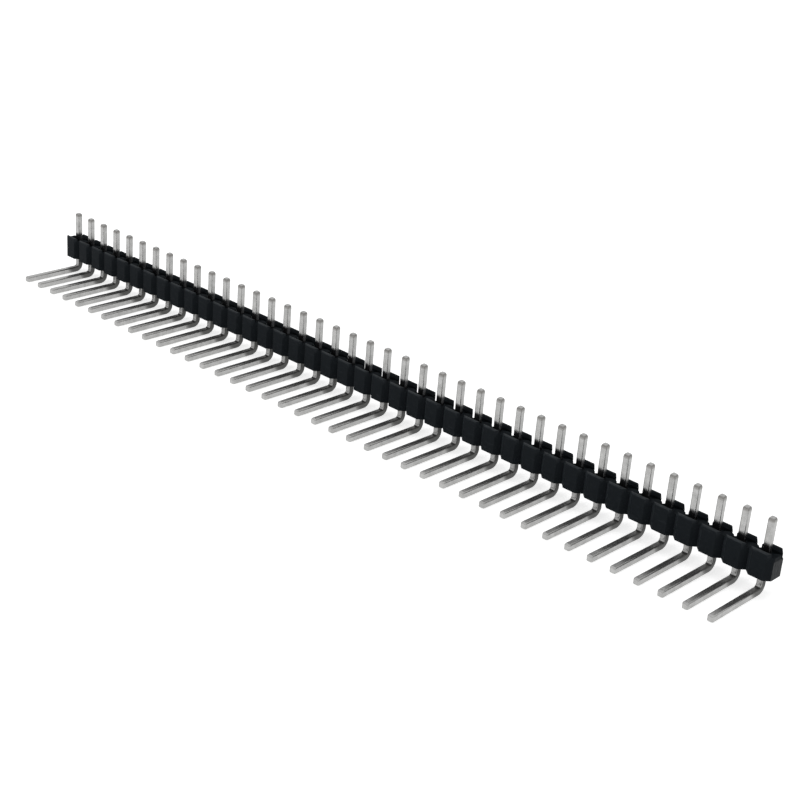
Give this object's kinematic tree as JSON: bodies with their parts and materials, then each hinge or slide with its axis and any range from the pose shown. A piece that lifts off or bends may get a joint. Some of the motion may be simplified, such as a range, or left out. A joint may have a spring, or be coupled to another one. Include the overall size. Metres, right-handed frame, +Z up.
{
  "type": "right-angle pin header strip",
  "caption": "Single-row right-angle pin header, 2.54 mm pitch: black moulded breakaway housing with bent square metal pins.",
  "frame": {"origin": "middle of the bounding box in X and Y, on the plane the pin arms lie on", "axes": "+X along the row, +Y towards the back of the housing with the arms pointing along -Y, +Z up along the stubs"},
  "size_m": [0.1016, 0.009, 0.0073],
  "materials": {
    "housing_plastic": "matte",
    "pin_metal": "tin plated, bright"
  },
  "bodies": {
    "root": {"housing": "housing_plastic", "pin_01": "pin_metal", "pin_02": "pin_metal", "pin_03": "pin_metal", "pin_04": "pin_metal", "pin_05": "pin_metal", "pin_06": "pin_metal", "pin_07": "pin_metal", "pin_08": "pin_metal", "pin_09": "pin_metal", "pin_10": "pin_metal", "pin_11": "pin_metal", "pin_12": "pin_metal", "pin_13": "pin_metal", "pin_14": "pin_metal", "pin_15": "pin_metal", "pin_16": "pin_metal", "pin_17": "pin_metal", "pin_18": "pin_metal", "pin_19": "pin_metal", "pin_20": "pin_metal", "pin_21": "pin_metal", "pin_22": "pin_metal", "pin_23": "pin_metal", "pin_24": "pin_metal", "pin_25": "pin_metal", "pin_26": "pin_metal", "pin_27": "pin_metal", "pin_28": "pin_metal", "pin_29": "pin_metal", "pin_30": "pin_metal", "pin_31": "pin_metal", "pin_32": "pin_metal", "pin_33": "pin_metal", "pin_34": "pin_metal", "pin_35": "pin_metal", "pin_36": "pin_metal", "pin_37": "pin_metal", "pin_38": "pin_metal", "pin_39": "pin_metal", "pin_40": "pin_metal"}
  },
  "joints": []
}
